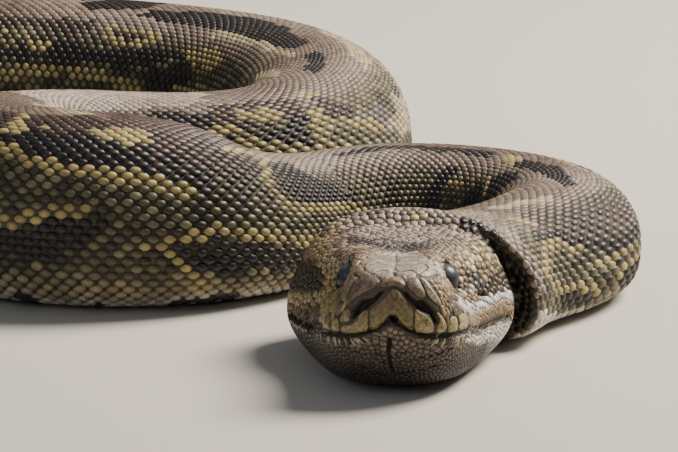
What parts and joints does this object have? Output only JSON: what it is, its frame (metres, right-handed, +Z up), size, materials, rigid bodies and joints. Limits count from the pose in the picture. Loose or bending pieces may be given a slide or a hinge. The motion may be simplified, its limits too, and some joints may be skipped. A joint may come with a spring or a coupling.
{
  "type": "life-size model of a coiled rock python",
  "caption": "Life-size still model of an African rock python lying in loose coils on the ground, head in front with the mouth closed.",
  "frame": {"origin": "middle of the outline seen from above, on the ground the animal lies on", "axes": "+Z up; the head faces -Y; +X is towards the animal's own left, so the folds behind it lie towards -X"},
  "size_m": [0.8496, 0.63, 0.081],
  "materials": {
    "head_scales": "satin scaled skin, brown with pale lips",
    "jaw_scales": "satin scaled skin, pale grey-brown",
    "clouded_eye": "glossy, clouded blue-grey",
    "neck_scales": "satin scaled skin, olive brown and dark brown",
    "trunk_scales": "satin scaled skin, olive yellow with dark brown blotches",
    "tail_scales": "satin scaled skin, dark brown and olive"
  },
  "bodies": {
    "root": {"head": "head_scales", "lower_jaw": "jaw_scales", "eye_left": "clouded_eye", "eye_right": "clouded_eye", "neck_front": "neck_scales", "neck_back": "neck_scales", "trunk_01": "trunk_scales", "trunk_02": "trunk_scales", "trunk_03": "trunk_scales", "trunk_04": "trunk_scales", "trunk_05": "trunk_scales", "trunk_06": "trunk_scales", "trunk_07": "trunk_scales", "trunk_08": "trunk_scales", "trunk_09": "trunk_scales", "trunk_10": "trunk_scales", "trunk_11": "trunk_scales", "trunk_12": "trunk_scales", "trunk_13": "trunk_scales", "trunk_14": "trunk_scales", "trunk_15": "trunk_scales", "trunk_16": "trunk_scales", "trunk_17": "trunk_scales", "trunk_18": "trunk_scales", "trunk_19": "trunk_scales", "trunk_20": "trunk_scales", "trunk_21": "trunk_scales", "tail": "tail_scales"}
  },
  "joints": []
}
